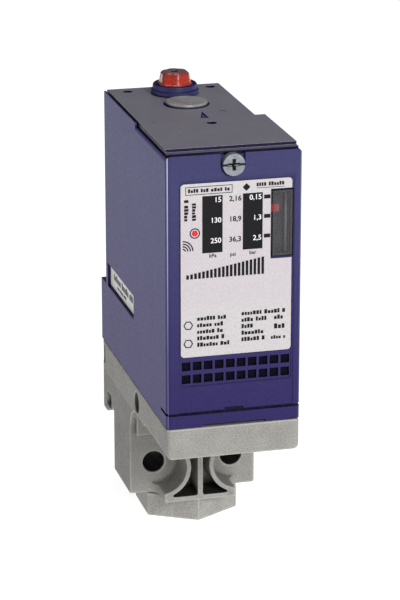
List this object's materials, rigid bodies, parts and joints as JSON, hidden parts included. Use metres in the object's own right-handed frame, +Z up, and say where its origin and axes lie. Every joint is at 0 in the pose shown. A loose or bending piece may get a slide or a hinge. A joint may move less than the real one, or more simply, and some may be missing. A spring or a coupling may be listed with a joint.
{
  "type": "pressure switch",
  "caption": "Narrow block pressure switch: blue removable cover with scale window, grey top with red range knob, zinc base with hexagonal fluid port and fixing flange.",
  "frame": {"origin": "centre of the fluid connector's lower face, at the mouth of its port", "axes": "+Z up along the connector, -Y towards the front of the cover, +X right seen from the front"},
  "size_m": [0.035, 0.0762, 0.119],
  "materials": {
    "cast_zinc": "fine shot-blasted zinc casting",
    "blue_plastic": "moulded violet-blue, fine satin",
    "grey_paint": "dark grey satin paint",
    "plated_steel": "zinc plated",
    "brass": "turned",
    "black_plastic": "moulded",
    "rubber": "matt",
    "red_plastic": "translucent orange-red",
    "label_film": "printed film",
    "grey_plastic": "moulded light grey",
    "smoky_window": "smoky clear"
  },
  "bodies": {
    "base": {"zinc_base": "cast_zinc", "fluid_connector": "cast_zinc", "connector_seal_ring": "rubber", "cover_gasket": "rubber", "diaphragm": "rubber", "clamp_ring": "plated_steel", "lever_pin": "plated_steel", "lever_bracket": "plated_steel", "range_spring": "plated_steel", "knob_collar": "blue_plastic", "top_plate": "grey_paint", "top_chassis": "blue_plastic", "blanking_plug": "grey_plastic", "cover_screw_nut": "plated_steel", "contact_block": "black_plastic", "contact_bracket": "plated_steel", "contact_spring": "plated_steel", "clamp_screw_1": "plated_steel", "clamp_saddle_1": "plated_steel", "terminal_screw_1": "plated_steel", "clamp_screw_2": "plated_steel", "clamp_saddle_2": "plated_steel", "terminal_screw_2": "plated_steel", "clamp_screw_3": "plated_steel", "clamp_saddle_3": "plated_steel", "terminal_screw_3": "plated_steel", "clamp_screw_4": "plated_steel", "clamp_saddle_4": "plated_steel", "terminal_screw_4": "plated_steel", "bracket_screw_1": "plated_steel", "block_screw_1": "plated_steel", "foot_screw_1": "plated_steel", "bracket_screw_2": "plated_steel", "block_screw_2": "plated_steel", "foot_screw_2": "plated_steel", "contact_nc_left": "brass", "contact_nc_right": "brass", "contact_no_left": "brass", "contact_no_right": "brass"},
    "cover": {"front_cover": "blue_plastic", "front_label": "label_film", "side_label": "label_film", "scale_window": "smoky_window"},
    "captive_screw": {"cover_screw": "plated_steel", "screw_retainer": "black_plastic"},
    "adjuster": {"adjusting_knob": "red_plastic", "adjusting_screw": "plated_steel", "retaining_ring": "plated_steel"},
    "nut": {"travelling_nut": "brass", "range_pointer": "red_plastic"},
    "rocker": {"lever": "plated_steel", "lower_spring_seat": "brass"},
    "piston": {"piston": "plated_steel"},
    "plunger": {"contact_plunger": "black_plastic", "contact_bridge": "brass"}
  },
  "joints": [
    {"name": "cover_slide", "type": "slide", "parent": "base", "child": "cover", "axis": [0, -1, 0], "range_m": [0, 0.078]},
    {"name": "cover_screw_turn", "type": "hinge", "parent": "cover", "child": "captive_screw", "pos_m": [-0.0005, -0.05, 0.1093], "axis": [0, -1, 0], "range_deg": [0, 1440]},
    {"name": "knob_turn", "type": "hinge", "parent": "base", "child": "adjuster", "pos_m": [0, 0.0108, 0.115], "axis": [0, 0, 1], "range_deg": [-2520.1, 1080.1]},
    {"name": "nut_travel", "type": "slide", "parent": "base", "child": "nut", "axis": [0, 0, 1], "range_m": [-0.007, 0.003], "deforming": ["range_spring"]},
    {"name": "lever_rock", "type": "hinge", "parent": "base", "child": "rocker", "pos_m": [0, 0.0136, 0.0516], "axis": [-1, 0, 0], "range_deg": [0, 2.2], "stiffness_Nm_per_rad": 0.05, "springref_deg": -11.46},
    {"name": "piston_lift", "type": "slide", "parent": "base", "child": "piston", "axis": [0, 0, 1], "range_m": [0, 0.000523], "deforming": ["diaphragm"]},
    {"name": "plunger_lift", "type": "slide", "parent": "base", "child": "plunger", "axis": [0, 0, 1], "range_m": [0, 0.00146], "deforming": ["contact_spring"]}
  ],
  "couplings": [
    {"joint": "knob_turn", "follows": "nut_travel", "rad_per_m": 6283.2},
    {"joint": "piston_lift", "follows": "lever_rock", "m_per_rad": 0.0136},
    {"joint": "plunger_lift", "follows": "lever_rock", "m_per_rad": 0.0381}
  ]
}
